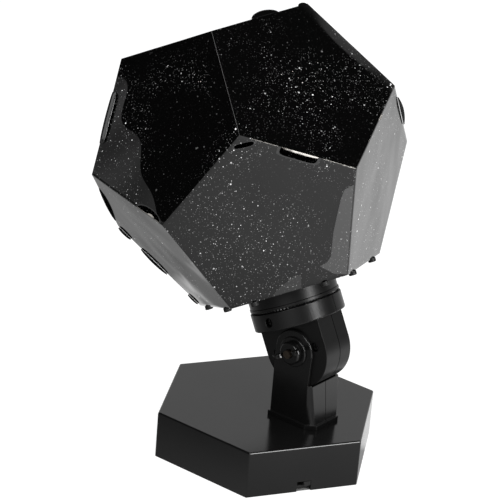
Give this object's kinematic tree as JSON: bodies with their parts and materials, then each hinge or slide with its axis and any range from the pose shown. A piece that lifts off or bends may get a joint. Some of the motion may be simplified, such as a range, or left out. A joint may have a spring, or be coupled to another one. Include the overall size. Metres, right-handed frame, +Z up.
{
  "type": "planetarium projector",
  "caption": "Desk planetarium: a black film dodecahedron with clear star dots on a turning, tilting neck above a hexagonal battery base.",
  "frame": {"origin": "centre of the hexagonal base's rim, on the surface it stands on", "axes": "+Z up; the plane x = 0 is the middle plane of the base, and post and neck stand 1 mm to its right; the head leans towards +Y; the tilt axis runs along X and its wing nut is on the -X side"},
  "size_m": [0.1918, 0.1897, 0.2743],
  "materials": {
    "black_plastic": "satin moulded black",
    "bottom_plastic": "fine matte grain, black",
    "neck_plastic": "satin gloss black",
    "knob_plastic": "gloss black",
    "grey_plastic": "grey slider",
    "socket_plastic": "cream heat-resistant",
    "lead_sleeve": "insulated wire",
    "steel": "plated",
    "cell_can": "plain sleeve",
    "stem_aluminium": "drawn tube",
    "bolt_brass": "dull",
    "bulb_glass": "clear",
    "star_film": "glossy black printed film with clear dots"
  },
  "bodies": {
    "base": {"base_shell": "black_plastic", "base_plate": "bottom_plastic", "base_screws": "steel", "battery_cells": "cell_can", "contact_plates": "steel", "contact_springs": "steel", "switch_can": "steel", "base_leads": "lead_sleeve", "post_left": "black_plastic", "post_right": "black_plastic", "post_screws": "steel", "pivot_bolt": "bolt_brass", "clamp_washers": "black_plastic"},
    "door": {"battery_door": "bottom_plastic"},
    "switch": {"switch_knob": "grey_plastic"},
    "wing_nut": {"wing_nut": "knob_plastic"},
    "neck": {"neck_left": "neck_plastic", "neck_right": "neck_plastic", "neck_screws": "steel", "lamp_stem": "stem_aluminium", "stem_screws": "steel", "lamp_socket": "socket_plastic", "bulb_base": "bolt_brass", "bulb_glass": "bulb_glass", "bulb_filament": "steel", "head_leads": "lead_sleeve"},
    "dome": {"turntable": "neck_plastic", "tray_screws": "steel", "dome_tray": "black_plastic", "film_pegs": "knob_plastic", "film_lower": "star_film", "film_upper": "star_film"}
  },
  "joints": [
    {"name": "head_tilt", "type": "hinge", "parent": "base", "child": "neck", "pos_m": [0.001, -0.0252, 0.0761], "axis": [-1, 0, 0], "range_deg": [-27, 33]},
    {"name": "dome_turn", "type": "hinge", "parent": "neck", "child": "dome", "pos_m": [0.001, -0.0252, 0.0761], "axis": [0, 0.454, 0.891], "continuous": true},
    {"name": "wing_nut_turn", "type": "hinge", "parent": "base", "child": "wing_nut", "pos_m": [0.001, -0.0252, 0.0761], "axis": [-1, 0, 0], "range_deg": [0, 360]},
    {"name": "switch_slide", "type": "slide", "parent": "base", "child": "switch", "axis": [-0.866, 0.5, 0], "range_m": [0, 0.0036]},
    {"name": "battery_door_swing", "type": "hinge", "parent": "base", "child": "door", "pos_m": [-0.0274, 0.005, 0.002], "axis": [0, 1, 0], "range_deg": [0, 75]}
  ]
}
